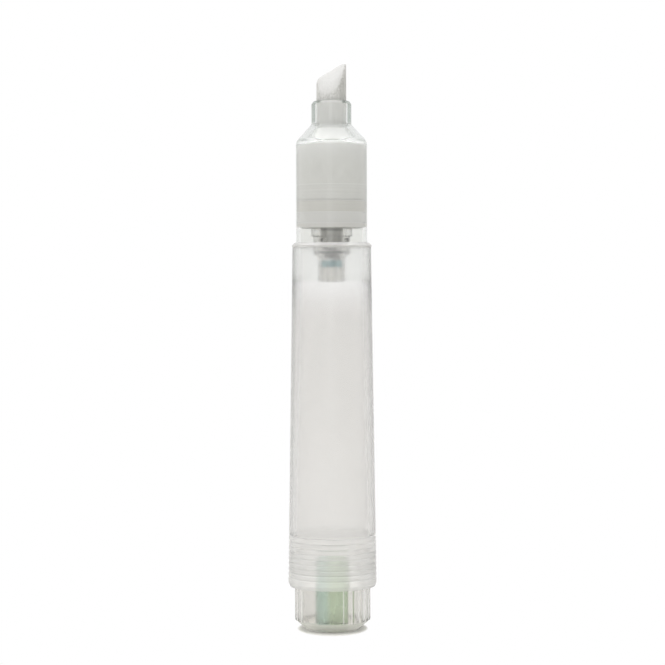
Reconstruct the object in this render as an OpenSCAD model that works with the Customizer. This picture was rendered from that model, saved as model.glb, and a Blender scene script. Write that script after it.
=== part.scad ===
// Refillable pump marker: a chisel felt nib on a spring valve, in a clear nose on a frosted barrel with
// a clear fluted tail plug. Millimetres, +Z from the foot that it stands on to the tip of the nib.

/* [Nib] */
// Diameter of the felt rod
nib_d = 7.2; // [6:0.1:8]
// Length of the felt rod
nib_length = 24; // [20:0.5:30]
// How far the tip stands above the collar
nib_reach = 8.9; // [8:0.1:12]
// Slope of the writing edge
nib_slant = 31; // [10:1:40]
// Slope of each bevel away from the axis
nib_bevel = 35; // [30:1:50]
// Thickness of the writing edge
nib_edge = 1.6; // [0.5:0.1:2]
// Length of the flat at the tip
nib_tip_flat = 1.2; // [0.4:0.1:2]
// Radial gap between the felt rod and what guides it
nib_clearance = 0.1; // [0.05:0.01:0.3]
// How far the nib and the plunger go in when pressed
press_travel = 2.5; // [1.5:0.1:3]

/* [Nose] */
// Outside diameter of the straight nose, where a cap pushes on
nose_d = 17; // [16:0.1:19]
// Height of the nose from the barrel's rim to its shoulder
nose_reach = 24.3; // [22:0.1:34]
// Length of the nose inside the barrel
nose_insert = 9; // [6:0.5:14]
// How much smaller the inserted length is, on the radius
nose_insert_step = 0.2; // [0.1:0.05:0.3]
// Wall of the nose beside the nib guide
nose_wall = 1.2; // [1:0.05:1.6]
// Widening of the bore, on the radius, where the valve stack is pushed in
nose_bore_step = 0.25; // [0.15:0.05:0.3]
// Height of the sloping shoulder
shoulder_height = 4; // [3:0.1:6]
// Wall of the sloping shoulder
shoulder_wall = 1.4; // [1:0.1:1.6]
// Rounding where the straight nose meets the shoulder
shoulder_round = 2.4; // [1:0.1:4]
// Rounding where the shoulder meets the collar
collar_round = 0.8; // [0.2:0.1:1.5]
// Height of the collar around the nib
collar_height = 5.5; // [4:0.1:8]
// Wall of the collar
collar_wall = 1.1; // [0.8:0.1:1.4]
// Bevel on the collar's top edge
collar_lip = 0.8; // [0.2:0.1:0.9]

/* [Nib guide and valve stack] */
// Clear height between the barrel's rim and the valve's flange
window_height = 3.5; // [2:0.1:6]
// Thickness of the valve's flange
flange_height = 1.3; // [1:0.1:2]
// Thickness of the gasket on the flange
gasket_height = 2.3; // [1.5:0.1:3]
// Height of the spacer ring between gasket and nib guide
spacer_height = 3; // [2:0.1:4]
// Radial width of the gasket
gasket_width = 2.6; // [1.5:0.1:3]
// Radial width of the spacer ring
spacer_width = 1.5; // [1:0.1:2]
// Wall of the nib guide
guide_wall = 1.1; // [0.8:0.1:1.5]
// Wall of the guide's conical neck at its foot
neck_foot_wall = 1; // [0.6:0.05:1.4]
// Wall of the guide's conical neck at its rim
neck_rim_wall = 0.35; // [0.25:0.05:0.6]
// Gap around the nib guide
guide_clearance = 0.15; // [0.1:0.01:0.25]
// Radial gap around the pushed-in stack
stack_fit = 0.04; // [0.02:0.01:0.08]
// How far the snap bead under the flange stands in
bead_height = 0.25; // [0.15:0.05:0.4]
// Bevel on the rims of the stacked rings
ring_bevel = 0.2; // [0.1:0.05:0.4]

/* [Valve] */
// Diameter of the boss under the flange
boss_d = 9.8; // [9.2:0.1:11]
// Height of the boss
boss_height = 2; // [1:0.1:3]
// Diameter of the valve cage
cage_d = 8.8; // [8:0.1:9]
// Height of the straight cage
cage_height = 4.1; // [3:0.1:5]
// Height of the taper under the cage
cage_taper = 1; // [0.5:0.1:2]
// Wall of the cage
cage_wall = 1.1; // [0.8:0.1:1.3]
// Diameter of the tube under the cage
tube_d = 6.5; // [6.1:0.1:6.8]
// Wall of the tube
tube_wall = 0.5; // [0.4:0.05:0.6]
// Diameter of the hole in the valve seat
seat_hole_d = 4; // [3.6:0.1:4.4]
// Number of ink ports round the cage
port_count = 4; // [2:1:6]
// Diameter of an ink port
port_d = 0.9; // [0.5:0.1:1.4]
// Turn of the first ink port from the +X axis
port_turn = -120; // [-180:1:180]

/* [Plunger, seal and spring] */
// Diameter of the plunger's stem
stem_d = 2.5; // [2:0.1:3]
// Height of the hollow poppet
poppet_height = 4; // [3.5:0.1:5]
// Thickness of the poppet's crown
poppet_crown = 1; // [0.6:0.1:1.4]
// Wall of the poppet
poppet_wall = 0.45; // [0.35:0.05:0.5]
// Radial gap between the poppet and the tube
poppet_clearance = 0.1; // [0.05:0.01:0.15]
// Thickness of the rubber washer on the poppet
seal_height = 0.6; // [0.4:0.1:1]
// Gap between faces that meet when a moving piece is at rest
rest_gap = 0.05; // [0.02:0.01:0.1]
// Diameter of the head that the nib rests on
head_d = 6.6; // [5.5:0.1:7]
// Thickness of the head
head_height = 1.4; // [1:0.1:2]
// Number of flow notches in the head
notch_count = 4; // [3:1:6]
// Diameter of a flow notch
notch_d = 1.6; // [1:0.1:2]
// Wire of the return spring
wire_d = 0.45; // [0.35:0.01:0.5]
// Turns of the return spring
spring_turns = 5.5; // [4.5:0.5:5.5]
// Radial gap between the spring and the poppet
spring_clearance = 0.12; // [0.05:0.01:0.2]
// Clear height left under a fully pressed poppet
run_out = 0.6; // [0.3:0.1:1]
// Thickness of the washer under the spring
spring_seat_height = 1.6; // [1:0.1:2.5]
// Hole in the washer and the end cap
drain_d = 1.6; // [1:0.1:2.2]
// Length of the end cap's plug inside the tube
cap_plug_length = 3.2; // [2:0.1:5]
// Thickness of the end cap's flange
cap_flange_height = 0.8; // [0.5:0.1:1.5]

/* [Barrel] */
// Length of the barrel
barrel_length = 82.35; // [65:0.05:120]
// Wall of the barrel around the nose
mouth_wall = 1.05; // [0.8:0.05:1.6]
// Wall of the barrel around the tail plug
tail_wall = 1.3; // [1:0.05:2]
// Step from the mouth down to the ink space, on the radius
mouth_ledge = 0.8; // [0.3:0.05:0.9]
// Step from the tail bore down to the ink space, on the radius
tail_ledge = 0.35; // [0.25:0.05:0.6]
// Height of the raised lip at the mouth
lip_height = 1.1; // [0.6:0.1:2]
// How far the lip stands out
lip_out = 0.15; // [0.05:0.05:0.4]
// Inset of the bevel on top of the lip
lip_bevel = 0.5; // [0.2:0.05:0.7]
// Bevel on the foot of the nose
rim_bevel = 0.35; // [0.1:0.05:0.5]
// Inset of the bevel under the tail rim
tail_bevel = 0.35; // [0.1:0.05:0.8]
// Height of the bevel under the tail rim
tail_bevel_height = 0.95; // [0.2:0.05:1.5]
// Radial gap between the nose and the barrel
nose_fit = 0.05; // [0.02:0.01:0.1]
// Number of grip grooves at the tail
groove_count = 9; // [4:1:16]
// Distance from one grip groove to the next
groove_pitch = 1.26; // [1:0.02:2]
// Radius of the rounded groove
groove_r = 0.35; // [0.35:0.05:0.6]
// Depth of a groove
groove_depth = 0.12; // [0.1:0.02:0.3]
// Height of the lowest groove above the tail rim
groove_start = 2.25; // [0.8:0.01:3]

/* [Tail plug] */
// Height of the plug below the barrel
tail_reach = 10.45; // [8:0.05:16]
// Diameter of the plug over its flutes
plug_d = 18.2; // [17:0.1:20]
// Depth of the bore that the plug's spigot fills
spigot_length = 8.2; // [6:0.1:12]
// How much wider the spigot is than the plug, on the radius
spigot_step = 0.2; // [0.1:0.05:0.4]
// Height above the tail rim where the spigot widens
spigot_recess = 0.6; // [0.3:0.1:1.5]
// Radial running gap of the spigot
spigot_fit = 0.05; // [0.02:0.01:0.09]
// Wall of the plug
plug_wall = 1.5; // [1.2:0.1:2.2]
// Thickness of the plug's floor
plug_floor = 1.6; // [1.2:0.1:2.5]
// Diameter of the flat foot
foot_d = 12.4; // [10:0.1:14]
// Height of the bevel above the foot
foot_bevel = 2.4; // [1.5:0.1:3]
// Slope cut inside, between floor and wall
floor_bevel = 1.6; // [1:0.1:2]
// Flutes in each of the two fluted arcs
flute_count = 8; // [4:1:10]
// Angle between flutes
flute_pitch = 13.65; // [12:0.05:14]
// Depth of a flute
flute_depth = 0.2; // [0.1:0.02:0.4]
// Radius of the rounded flute
flute_r = 2.4; // [1.5:0.1:4]
// Turn of the middle of the fluted arcs from the +X axis
flute_turn = -18.7; // [-90:0.1:90]
// Cord of the sealing ring on the spigot
seal_cord_d = 0.9; // [0.6:0.1:1.2]
// Diameter of the green core
core_d = 8.2; // [5:0.1:9]
// Length of the green core
core_length = 16.4; // [10:0.1:17]
// Bevel on the core's top edge
core_bevel = 0.8; // [0.2:0.1:1.5]
// Depth of the recess in the floor that holds the core
core_seat = 0.8; // [0.3:0.1:1]
// Radial gap around the core in its recess
core_fit = 0.04; // [0.02:0.01:0.1]

/* [Hidden] */

$fn = 96;
// Cutters run this far past the faces that they cut
over = 1;
// Straight pieces in each rounded stretch of an outline
arc_steps = 8;

// Heights from the foot up
barrel_z0 = tail_reach;
barrel_z1 = barrel_z0 + barrel_length;
tail_ledge_z = barrel_z0 + spigot_length;
skirt_z0 = barrel_z1 - nose_insert;
flange_z0 = barrel_z1 + window_height;
flange_z1 = flange_z0 + flange_height;
gasket_z1 = flange_z1 + gasket_height;
spacer_z1 = gasket_z1 + spacer_height;
shoulder_z0 = barrel_z1 + nose_reach;
collar_z0 = shoulder_z0 + shoulder_height;
collar_z1 = collar_z0 + collar_height;
nib_z1 = collar_z1 + nib_reach;
nib_z0 = nib_z1 - nib_length;

// Nose
nib_r = nib_d / 2;
nib_bore_r = nib_r + nib_clearance;
collar_r = nib_bore_r + collar_wall;
nose_r = nose_d / 2;
insert_r = nose_r - nose_insert_step;
guide_bore_r = nose_r - nose_wall;
stack_bore_r = guide_bore_r + nose_bore_step;
shoulder_slope = shoulder_height / (nose_r - collar_r);
shoulder_turn = 90 - atan(shoulder_slope);
// Height of the shoulder's cone at radius r, once moved inwards by depth
function shoulder_z(r, depth) =
    shoulder_z0 + (nose_r - r) * shoulder_slope - depth / sin(shoulder_turn);

// Nib guide and valve stack
guide_depth = shoulder_wall + guide_clearance;
guide_r = guide_bore_r - guide_clearance;
guide_in_r = guide_r - guide_wall;
guide_z1 = shoulder_z(guide_r, guide_depth);
neck_foot_r = nib_bore_r + neck_foot_wall;
neck_rim_r = nib_bore_r + neck_rim_wall;
neck_z1 = shoulder_z(neck_rim_r, guide_depth);
stack_r = stack_bore_r - stack_fit;

// Valve, from its seat down
seat_hole_r = seat_hole_d / 2;
boss_z0 = flange_z0 - boss_height;
cage_z0 = boss_z0 - cage_height;
tube_z1 = cage_z0 - cage_taper;
cage_r = cage_d / 2;
cage_bore_r = cage_r - cage_wall;
tube_r = tube_d / 2;
tube_bore_r = tube_r - tube_wall;
poppet_r = tube_bore_r - poppet_clearance;
poppet_in_r = poppet_r - poppet_wall;
poppet_z1 = flange_z0 - rest_gap - seal_height;
poppet_z0 = poppet_z1 - poppet_height;
spring_seat_z1 = poppet_z0 - press_travel - run_out;
spring_seat_z0 = spring_seat_z1 - spring_seat_height;
tube_z0 = spring_seat_z0 - cap_plug_length;
stem_r = stem_d / 2;
drain_r = drain_d / 2;
head_z1 = nib_z0 - rest_gap;

// Return spring, a helix that keeps clear of its two seats
spring_r = poppet_in_r - spring_clearance - wire_d / 2;
spring_z0 = spring_seat_z1 + rest_gap + wire_d / 2;
spring_z1 = poppet_z1 - poppet_crown - rest_gap - wire_d / 2;
spring_sides = 6;
rings_per_turn = 8;
spring_rings = ceil(spring_turns * rings_per_turn);
spring_pitch = (spring_z1 - spring_z0) / spring_turns;

// Barrel and tail plug
mouth_bore_r = insert_r + nose_fit;
mouth_r = mouth_bore_r + mouth_wall;
plug_r = plug_d / 2;
spigot_r = plug_r + spigot_step;
tail_bore_r = spigot_r + spigot_fit;
tail_r = tail_bore_r + tail_wall;
spigot_z0 = barrel_z0 + spigot_recess;
spigot_z1 = tail_ledge_z - rest_gap;
plug_in_r = plug_r - plug_wall;
seal_z = (spigot_z0 + spigot_z1) / 2;
seal_cord_r = seal_cord_d / 2;
// The sealing ring clears the bore and the foot of its groove
seal_r = tail_bore_r - rest_gap - seal_cord_r;
seal_groove_r = seal_r - seal_cord_r - rest_gap;
core_r = core_d / 2;
core_z0 = plug_floor - core_seat;
core_z1 = core_z0 + core_length;

// Outside radius of the barrel at height z
function barrel_r(z) = tail_r + (mouth_r - tail_r) * (z - barrel_z0) / barrel_length;

// Points of an arc round centre c, in the plane of an outline
function arc(c, r, a0, a1) = [
    for (i = [0 : arc_steps])
        let (a = a0 + (a1 - a0) * i / arc_steps)
        [c.x + r * cos(a), c.y + r * sin(a)]
];

// A ring turned about the axis, with a bevel on both outer rims
module ring(r_out, r_in, z0, z1, bevel = 0) {
    rotate_extrude()
        polygon([
            [r_in, z0],
            [r_out - bevel, z0],
            [r_out, z0 + bevel],
            [r_out, z1 - bevel],
            [r_out - bevel, z1],
            [r_in, z1]
        ]);
}

// A round bead about the axis
module bead(r, z, bead_r) {
    rotate_extrude()
        translate([r, z])
            circle(r = bead_r);
}

module barrel() {
    lip_r = mouth_r + lip_out;
    color([0.86, 0.86, 0.85, 0.6])
    difference() {
        rotate_extrude()
            polygon([
                [tail_bore_r, barrel_z0],
                [tail_r - tail_bevel, barrel_z0],
                [barrel_r(barrel_z0 + tail_bevel_height), barrel_z0 + tail_bevel_height],
                [barrel_r(barrel_z1 - lip_height), barrel_z1 - lip_height],
                [lip_r, barrel_z1 - lip_height + lip_out],
                [lip_r, barrel_z1 - 0.6 * lip_height],
                [lip_r - lip_bevel, barrel_z1],
                [mouth_bore_r, barrel_z1],
                [mouth_bore_r, skirt_z0 - rest_gap],
                [mouth_bore_r - mouth_ledge, skirt_z0 - rest_gap],
                [tail_bore_r - tail_ledge, tail_ledge_z],
                [tail_bore_r, tail_ledge_z]
            ]);
        for (i = [0 : groove_count - 1]) {
            z = barrel_z0 + groove_start + i * groove_pitch;
            bead(barrel_r(z) + groove_r - groove_depth, z, groove_r);
        }
    }
}

module nose_cone() {
    round_rise = shoulder_round * tan(shoulder_turn / 2);
    collar_rise = collar_round * tan(shoulder_turn / 2);
    color([0.84, 0.9, 0.87, 0.4])
    rotate_extrude()
        polygon(concat(
            [
                [stack_bore_r, skirt_z0],
                [insert_r - rim_bevel, skirt_z0],
                [insert_r, skirt_z0 + rim_bevel],
                [insert_r, barrel_z1],
                [nose_r, barrel_z1]
            ],
            arc([nose_r - shoulder_round, shoulder_z0 - round_rise], shoulder_round, 0, shoulder_turn),
            arc([collar_r + collar_round, collar_z0 + collar_rise], collar_round, 180 + shoulder_turn, 180),
            [
                [collar_r, collar_z1 - collar_lip],
                [collar_r - collar_lip, collar_z1],
                [nib_bore_r, collar_z1],
                [nib_bore_r, shoulder_z(nib_bore_r, shoulder_wall)],
                [guide_bore_r, shoulder_z(guide_bore_r, shoulder_wall)],
                [guide_bore_r, spacer_z1],
                [stack_bore_r, spacer_z1],
                [stack_bore_r, flange_z0 - rest_gap],
                [stack_bore_r - bead_height, flange_z0 - rest_gap - bead_height],
                [stack_bore_r, flange_z0 - rest_gap - 2 * bead_height]
            ]
        ));
}

module nib() {
    // The edge slopes up towards +X and is blunted at the tip
    edge_z = nib_z1 - (nib_r - nib_tip_flat) * tan(nib_slant);
    half_edge = nib_edge / 2;
    half_base = half_edge + nib_length * tan(nib_bevel);
    color([0.93, 0.93, 0.92])
    intersection() {
        translate([0, 0, nib_z0])
            cylinder(r = nib_r, h = nib_length);
        translate([0, 0, edge_z])
            rotate([0, -nib_slant, 0])
                rotate([90, 0, 90])
                    linear_extrude(height = 4 * nib_length, center = true)
                        polygon([
                            [-half_edge, 0],
                            [half_edge, 0],
                            [half_base, -nib_length],
                            [half_base, -2 * nib_length],
                            [-half_base, -2 * nib_length],
                            [-half_base, -nib_length]
                        ]);
    }
}

module nib_guide() {
    color([0.95, 0.95, 0.94])
    rotate_extrude()
        polygon([
            [guide_in_r, spacer_z1],
            [guide_r, spacer_z1],
            [guide_r, guide_z1],
            [neck_foot_r, guide_z1],
            [neck_rim_r, neck_z1],
            [nib_bore_r, neck_z1],
            [nib_bore_r, guide_z1 - guide_wall],
            [guide_in_r, guide_z1 - guide_wall]
        ]);
}

module spacer_ring() {
    color([0.88, 0.88, 0.86])
    ring(stack_r, stack_r - spacer_width, gasket_z1, spacer_z1, ring_bevel);
}

module valve_gasket() {
    color([0.8, 0.79, 0.77])
    ring(stack_r, stack_r - gasket_width, flange_z1, gasket_z1, ring_bevel);
}

module valve_body() {
    color([0.85, 0.85, 0.83, 0.7])
    difference() {
        union() {
            ring(stack_r, seat_hole_r, flange_z0, flange_z1, ring_bevel);
            rotate_extrude()
                polygon([
                    [cage_bore_r, flange_z0],
                    [boss_d / 2, flange_z0],
                    [boss_d / 2, boss_z0],
                    [cage_r, boss_z0],
                    [cage_r, cage_z0],
                    [tube_r, tube_z1],
                    [tube_r, tube_z0],
                    [tube_bore_r, tube_z0],
                    [tube_bore_r, cage_z0],
                    [cage_bore_r, cage_z0 + cage_bore_r - tube_bore_r]
                ]);
        }
        for (i = [0 : port_count - 1])
            rotate([0, 0, port_turn + i * 360 / port_count])
                translate([cage_bore_r - over, 0, boss_z0 - port_d])
                    rotate([0, 90, 0])
                        cylinder(d = port_d, h = cage_wall + 2 * over);
    }
}

module valve_plunger() {
    color([0.6, 0.6, 0.58])
    difference() {
        rotate_extrude()
            polygon([
                [0, poppet_z1 - poppet_crown],
                [poppet_in_r, poppet_z1 - poppet_crown],
                [poppet_in_r, poppet_z0],
                [poppet_r, poppet_z0],
                [poppet_r, poppet_z1],
                [stem_r, poppet_z1],
                [stem_r, head_z1 - head_height],
                [head_d / 2, head_z1 - head_height],
                [head_d / 2, head_z1],
                [0, head_z1]
            ]);
        for (i = [0 : notch_count - 1])
            rotate([0, 0, i * 360 / notch_count])
                translate([head_d / 2, 0, head_z1 - head_height - over])
                    cylinder(d = notch_d, h = head_height + 2 * over);
    }
}

module plunger_seal() {
    color([0.35, 0.36, 0.36])
    ring(poppet_r, stem_r, poppet_z1, poppet_z1 + seal_height);
}

// Middle of the spring's wire at ring i
function spring_point(i) =
    let (a = 360 * spring_turns * i / spring_rings)
    [spring_r * cos(a), spring_r * sin(a), spring_z0 + (spring_z1 - spring_z0) * i / spring_rings];

// Corner k of ring i, square to the wire
function spring_corner(i, k) =
    let (
        a = 360 * spring_turns * i / spring_rings,
        out = [cos(a), sin(a), 0],
        rise = atan2(spring_pitch, 2 * PI * spring_r),
        up = [sin(rise) * sin(a), -sin(rise) * cos(a), cos(rise)],
        t = 360 * k / spring_sides
    )
    spring_point(i) + wire_d / 2 * (cos(t) * out + sin(t) * up);

module valve_spring() {
    points = [for (i = [0 : spring_rings], k = [0 : spring_sides - 1]) spring_corner(i, k)];
    at = function(i, k) i * spring_sides + k % spring_sides;
    side_faces = [
        for (i = [0 : spring_rings - 1], k = [0 : spring_sides - 1], half = [0, 1])
            half == 0
                ? [at(i, k), at(i + 1, k), at(i, k + 1)]
                : [at(i, k + 1), at(i + 1, k), at(i + 1, k + 1)]
    ];
    end_faces = [
        for (k = [1 : spring_sides - 2], end = [0, 1])
            end == 0
                ? [at(0, 0), at(0, k), at(0, k + 1)]
                : [at(spring_rings, 0), at(spring_rings, k + 1), at(spring_rings, k)]
    ];
    least_gap = min([
        for (i = [0 : spring_rings], j = [i + rings_per_turn / 2 : 1 : spring_rings])
            norm(spring_point(i) - spring_point(j))
    ]) - wire_d;
    echo(least_spring_gap = least_gap);
    color([0.7, 0.7, 0.72])
    polyhedron(points = points, faces = concat(side_faces, end_faces));
}

module spring_seat() {
    color([0.5, 0.66, 0.64])
    ring(tube_bore_r - stack_fit, drain_r, spring_seat_z0, spring_seat_z1);
}

module valve_cap() {
    color([0.88, 0.88, 0.86])
    union() {
        ring(tube_bore_r - stack_fit, drain_r, tube_z0, spring_seat_z0);
        ring(tube_r, drain_r, tube_z0 - cap_flange_height, tube_z0);
    }
}

module tail_plug() {
    color([0.84, 0.9, 0.87, 0.4])
    difference() {
        rotate_extrude()
            polygon([
                [0, 0],
                [foot_d / 2, 0],
                [plug_r, foot_bevel],
                [plug_r, spigot_z0],
                [spigot_r, spigot_z0],
                [spigot_r, spigot_z1],
                [plug_in_r, spigot_z1],
                [plug_in_r, plug_floor + floor_bevel],
                [plug_in_r - floor_bevel, plug_floor],
                [core_r + core_fit, plug_floor],
                [core_r + core_fit, core_z0],
                [0, core_z0]
            ]);
        flutes();
        ring(spigot_r + over, seal_groove_r, seal_z - seal_cord_r - rest_gap, seal_z + seal_cord_r + rest_gap);
    }
}

// Two arcs of shallow flutes, with a smooth window between them on either side
module flutes() {
    for (side = [0, 1], i = [0 : flute_count - 1])
        rotate([0, 0, flute_turn + 180 * side + (i - (flute_count - 1) / 2) * flute_pitch])
            translate([plug_r + flute_r - flute_depth, 0, -over])
                cylinder(r = flute_r, h = barrel_z0 + over);
}

module tail_seal() {
    color([0.25, 0.26, 0.26])
    bead(seal_r, seal_z, seal_cord_r);
}

module tail_core() {
    color([0.68, 0.82, 0.68, 0.8])
    rotate_extrude()
        polygon([
            [0, core_z0],
            [core_r, core_z0],
            [core_r, core_z1 - core_bevel],
            [core_r - core_bevel, core_z1],
            [0, core_z1]
        ]);
}

barrel();
nose_cone();
nib();
nib_guide();
spacer_ring();
valve_gasket();
valve_body();
valve_plunger();
plunger_seal();
valve_spring();
spring_seat();
valve_cap();
tail_plug();
tail_seal();
tail_core();
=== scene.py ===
import math

import bmesh
import bpy
from mathutils import Euler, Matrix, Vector, noise


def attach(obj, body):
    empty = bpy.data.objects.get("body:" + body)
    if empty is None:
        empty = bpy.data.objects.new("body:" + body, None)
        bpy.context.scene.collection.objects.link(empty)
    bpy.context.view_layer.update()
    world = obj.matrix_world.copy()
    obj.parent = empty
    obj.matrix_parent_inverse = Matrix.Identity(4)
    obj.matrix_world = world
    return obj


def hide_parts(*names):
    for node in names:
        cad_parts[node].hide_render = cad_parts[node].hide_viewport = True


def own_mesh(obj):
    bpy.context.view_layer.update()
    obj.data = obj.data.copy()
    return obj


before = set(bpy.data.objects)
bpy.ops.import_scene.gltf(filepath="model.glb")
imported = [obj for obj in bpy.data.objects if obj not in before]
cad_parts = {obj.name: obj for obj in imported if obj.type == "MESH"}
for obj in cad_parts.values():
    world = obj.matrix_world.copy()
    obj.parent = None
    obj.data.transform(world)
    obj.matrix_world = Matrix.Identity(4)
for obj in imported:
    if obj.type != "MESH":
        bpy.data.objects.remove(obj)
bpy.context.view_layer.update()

# Outlines below are in millimetres, and meshes are in metres
MM = 0.001

# How far pieces that touch reach into each other
CONTACT = 0.02

# Nib
NIB_R = 3.6
NIB_Z0 = 111.5
NIB_Z1 = 135.5
NIB_SLANT = math.radians(31)
NIB_BEVEL = math.radians(35)
NIB_HALF_EDGE = 0.8
NIB_TIP_FLAT = 1.2

# Wear of the nib's edges, which grows below the tip, and fibres and lumps in a millimetre of felt
RIDGE_WEAR = 0.12
EDGE_WEAR = 0.5
TIP_WEAR = 0.35
WEAR_GROWTH = 0.2
WEAR_REACH = 5
WEAR_PASSES = 4
FIBRE_ACROSS = 3.2
FIBRE_ALONG = 0.25
FIBRE_DEPTH = 0.02
LUMP_ACROSS = 0.9
LUMP_ALONG = 0.6
LUMP_SHIFT = 40
LUMP_DEPTH = 0.015

# Clear nose and what stands in it
NOSE_R = 8.5
NOSE_BORE_R = 7.55
SLEEVE_BORE_R = 7.3
NOSE_WALL = 1.4
SKIRT_R = 8.37
SHOULDER_Z = 117.1
COLLAR_R = 4.8
COLLAR_Z0 = 121.1
COLLAR_Z1 = 126.6
NIB_BORE_R = 3.7
GUIDE_R = 7.33
GUIDE_BORE_R = 6.05
GUIDE_STEP_Z = 106.6
GUIDE_TOP_R = 7.15
GUIDE_TOP_DEPTH = 1.55
NECK_R = 4.05
STACK_R = 7.57
SPACER_Z1 = 102.9
SPACER_BORE_R = 6.01
GASKET_Z1 = 99.9
GASKET_BORE_R = 4.91
FLANGE_Z1 = 97.6
FLANGE_Z0 = 96.3

# Valve under the flange
TUBE_R = 3.25
TUBE_BORE_R = 2.75
TUBE_Z0 = 83.75
CAGE_R = 4.4
CAGE_BORE_R = 3.3
CAGE_Z0 = 90.2
BOSS_R = 4.9
BOSS_Z0 = 94.3
PORT_Z = 93.4
STEM_R = 1.25
STEM_BORE_R = 2.0
POPPET_R = 2.65
POPPET_BORE_R = 2.2
POPPET_Z0 = 91.65
POPPET_Z1 = 95.65
WASHER_Z1 = 96.25
HEAD_R = 3.3
HEAD_Z0 = 110.05
HEAD_Z1 = 111.45
SEAT_R = 2.71
SEAT_BORE_R = 0.8
SEAT_Z0 = 86.95
SEAT_Z1 = 88.55
CAP_Z0 = 82.95

# Barrel
BARREL_Z0 = 10.45
BARREL_Z1 = 92.8
TAIL_R = 10.65
MOUTH_R = 9.4
WALL_MIDDLE_R = 9.9
MOUTH_BORE_R = 8.35
TAIL_BORE_R = 9.35
TAIL_BORE_Z1 = 18.65
TAIL_BEVEL_Z1 = 11.4
LIP_Z0 = 91.7
LIP_DEPTH = 0.15
LEDGE_Z = 83.75
LEDGE_RISE = 1.97
FROST_Z0 = 72.0
FROST_Z1 = 84.0
RING_COUNT = 9
RING_PITCH = 1.26
RING_FIRST_Z = 12.7
RING_R = 0.35
RING_DEPTH = 0.12
RINGS_Z0 = 11.9
RINGS_Z1 = 23.0

# Tail plug
PLUG_R = 9.1
PLUG_BORE_R = 7.6
PLUG_FLOOR_Z = 1.6
RECESS_R = 4.14
FOOT_R = 6.2
FOOT_Z1 = 2.4
SPIGOT_R = 9.37
SPIGOT_Z0 = 11.05
SPIGOT_Z1 = 18.6
GROOVE_R = 8.35
GROOVE_Z0 = 14.325
GROOVE_Z1 = 15.325
CORE_R = 4.1
CORE_Z0 = 0.8
CORE_Z1 = 17.2
CORE_BEVEL = 0.8
FLUTE_COUNT = 8
FLUTE_PITCH = math.radians(13.65)
FLUTE_R = 2.4
FLUTE_DEPTH = 0.2
FLUTE_TURN = math.radians(-18.7)

# Return spring
WIRE_R = 0.225
SPRING_R = 1.855
SPRING_Z0 = 88.825
SPRING_Z1 = 94.375
SPRING_TURNS = 5.5

# Meshes, with the step in millimetres and the last two in metres
SEGMENTS = 128
SMALL_SEGMENTS = 96
PLUG_SEGMENTS = 528
LEAST_STEP = 0.01
SAME_SPOT = 1e-7
NO_LENGTH = 1e-8

# Finishes, with the bumps of each grain in a millimetre along X, Y and Z
PLASTIC_IOR = 1.49
SKIN_ROUGHNESS = 0.6
MOTTLE = (0.5, 0.5, 0.3)
FINE_SKIN = (7, 7, 7)
MOULD_MARKS = (0.03, 0.03, 2.6)
WAVES = (0.35, 0.35, 0.12)

# Floor and room, with the floor's size in metres
WHITE = (1, 1, 1, 1)
SHADOW_R0 = 7.9
SHADOW_R1 = 8.7
SHADOW_SQUASH = 0.64
FLOOR_GLOW = 0.11
FLOOR_HALF = 3.0
ROOM_LEVEL = 0.8
ROOM_BACK = 0.25
ROOM_LEFT = 0.2

# The photograph's camera, with its place in metres
PHOTO_PIXELS = 665
LENS_PIXELS = 1900
SENSOR_MM = 36
CAMERA_PLACE = (0.00017, -0.456, 0.0839)
CAMERA_PITCH = math.radians(90 - 1.583)
CAMERA_ROLL = math.radians(0.148)


# Node trees

class Value:
    """A socket of a tree, with Python's operators as Math nodes."""

    def __init__(self, tree, socket):
        self.tree = tree
        self.socket = socket

    def __add__(self, other):
        return self.tree.math("ADD", self, other)

    def __radd__(self, other):
        return self.tree.math("ADD", other, self)

    def __sub__(self, other):
        return self.tree.math("SUBTRACT", self, other)

    def __rsub__(self, other):
        return self.tree.math("SUBTRACT", other, self)

    def __mul__(self, other):
        return self.tree.math("MULTIPLY", self, other)

    def __rmul__(self, other):
        return self.tree.math("MULTIPLY", other, self)

    def __truediv__(self, other):
        return self.tree.math("DIVIDE", self, other)

    def __rtruediv__(self, other):
        return self.tree.math("DIVIDE", other, self)

    def __gt__(self, other):
        return self.tree.math("GREATER_THAN", self, other)

    def __lt__(self, other):
        return self.tree.math("LESS_THAN", self, other)


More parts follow.
